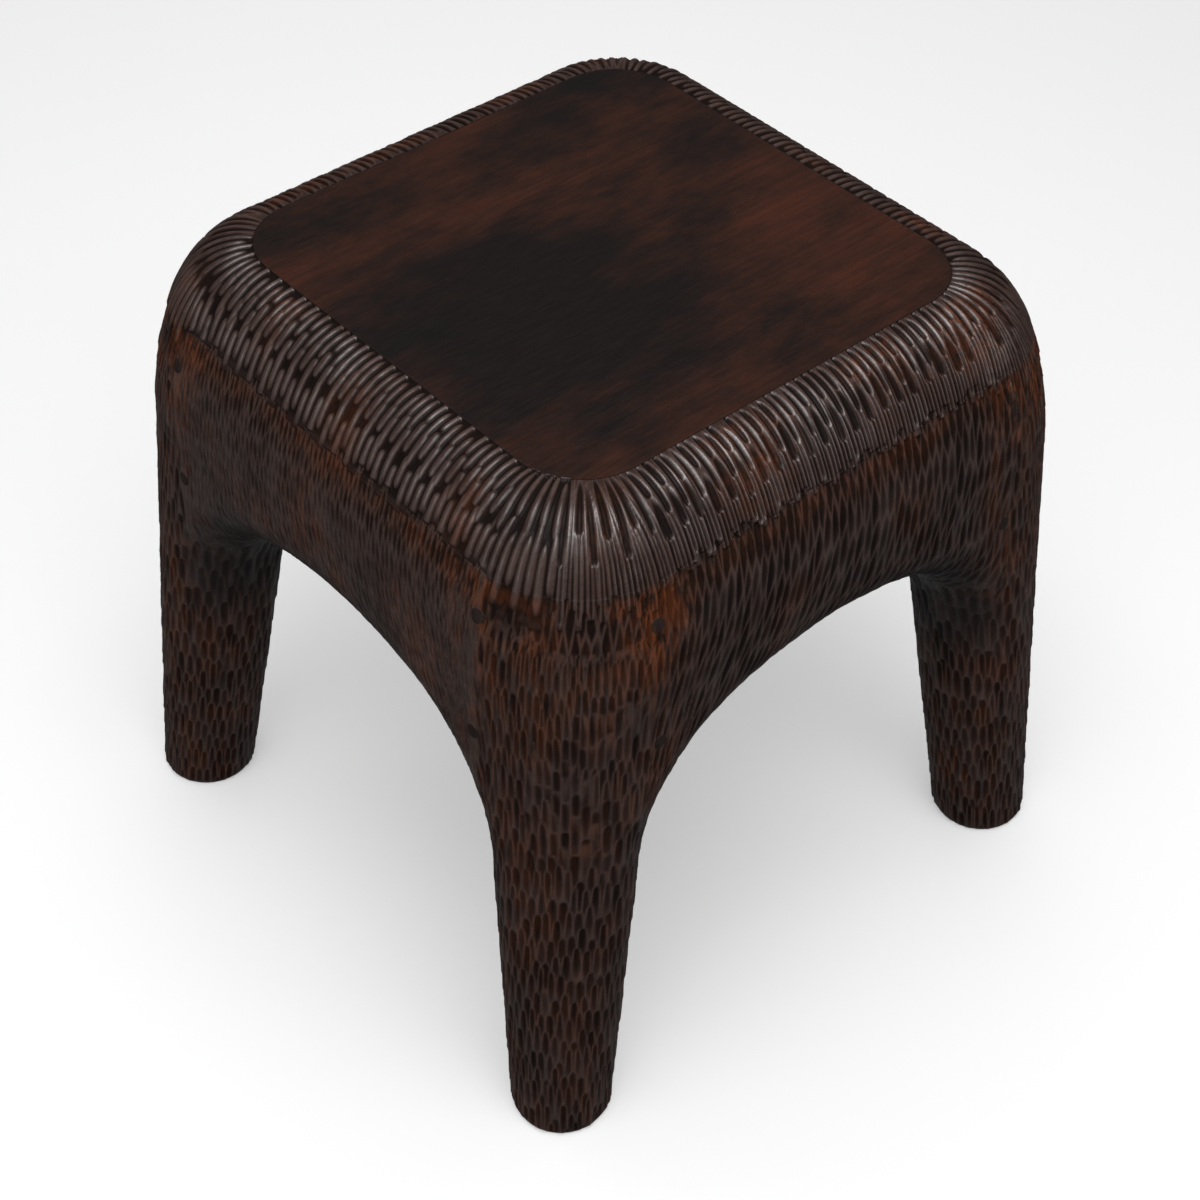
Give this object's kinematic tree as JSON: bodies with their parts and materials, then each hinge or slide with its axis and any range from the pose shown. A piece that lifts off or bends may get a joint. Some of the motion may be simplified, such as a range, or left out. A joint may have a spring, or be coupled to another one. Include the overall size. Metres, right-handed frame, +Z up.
{
  "type": "carved side table",
  "caption": "Square wooden side table, gouge-carved all over, with a smooth panel inside a rolled fluted rim, arched aprons and splayed round-footed legs.",
  "frame": {"origin": "on the floor, under the middle of the table", "axes": "+Z up, -Y is the side that faces right and forward in the picture, -X the side that faces left and forward; the boards of the top run along X"},
  "size_m": [0.5076, 0.5076, 0.508],
  "materials": {
    "top_wood": "satin dark espresso stain, fluted rim semi-gloss",
    "frame_wood": "gouge-carved, dark brown stain, semi-gloss on the ridges",
    "peg_wood": "end grain, stained darker than the frame",
    "dowel_wood": "plain unfinished hardwood, hidden"
  },
  "bodies": {
    "root": {"top_board_1": "top_wood", "top_board_2": "top_wood", "top_board_3": "top_wood", "top_board_4": "top_wood", "top_board_5": "top_wood", "leg_back_right": "frame_wood", "leg_front_right": "frame_wood", "leg_back_left": "frame_wood", "leg_front_left": "frame_wood", "apron_back": "frame_wood", "apron_front": "frame_wood", "apron_right": "frame_wood", "apron_left": "frame_wood", "tenon_pegs_back_right": "peg_wood", "tenon_pegs_front_right": "peg_wood", "tenon_pegs_back_left": "peg_wood", "tenon_pegs_front_left": "peg_wood", "top_dowels": "dowel_wood", "board_dowels": "dowel_wood"}
  },
  "joints": []
}
